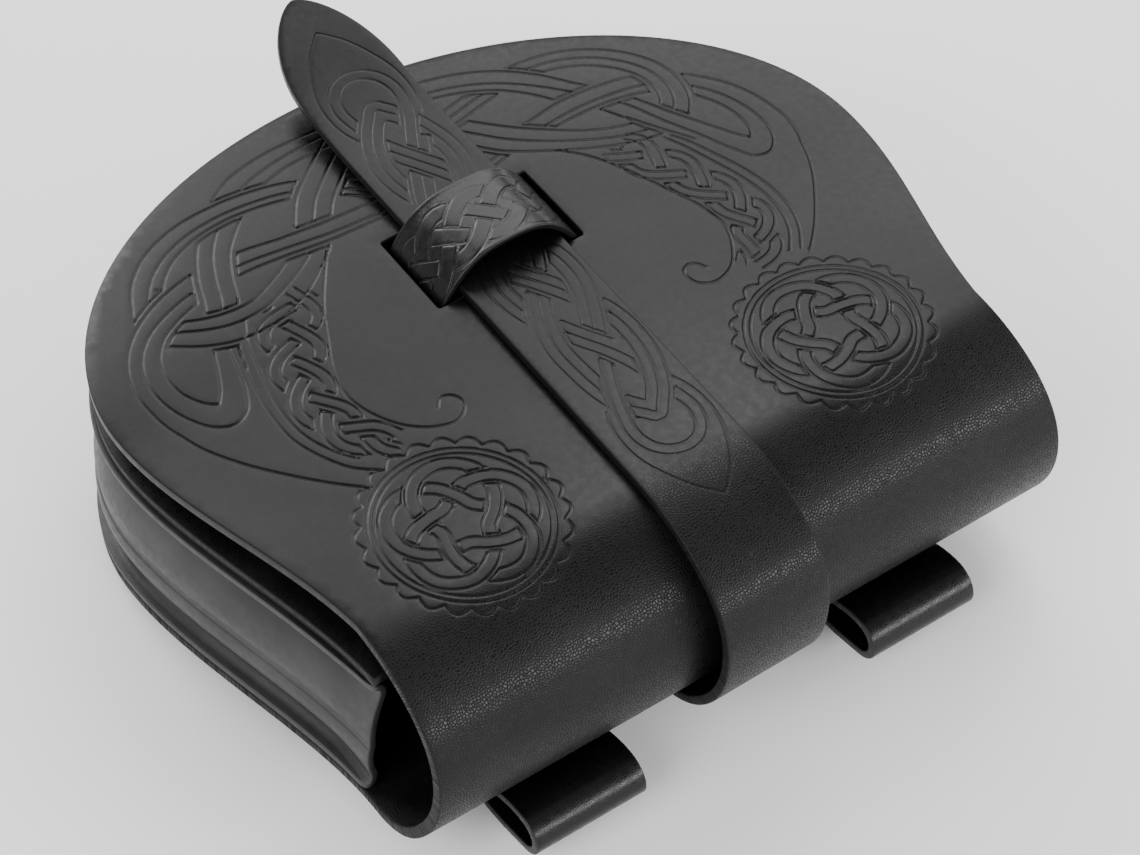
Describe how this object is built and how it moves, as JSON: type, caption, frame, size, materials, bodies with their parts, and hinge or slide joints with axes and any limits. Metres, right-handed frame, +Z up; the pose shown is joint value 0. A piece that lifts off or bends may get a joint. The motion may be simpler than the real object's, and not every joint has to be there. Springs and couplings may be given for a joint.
{
  "type": "belt pouch",
  "caption": "Belt pouch of one folded leather wrap with a rounded flap, a gusseted body, a pointed closing strap under an arched keeper, and flat loops for a belt.",
  "frame": {"origin": "Bottom centre of the pouch's box, on the surface that it lies on.", "axes": "+Z up, out of the flap; X across the width; +Y towards the rounded end and the strap's tip; -Y towards the fold and the belt loops."},
  "size_m": [0.2036, 0.2018, 0.0764],
  "materials": {
    "tooled_leather": "black, satin, tooled",
    "gusset_leather": "black, soft sheen, fine grain",
    "loop_leather": "black, glossy"
  },
  "bodies": {
    "root": {"wrap": "tooled_leather", "front_panel": "tooled_leather", "gusset": "gusset_leather", "strap": "tooled_leather", "keeper": "tooled_leather", "belt_loop_left": "loop_leather", "belt_loop_right": "loop_leather"}
  },
  "joints": []
}
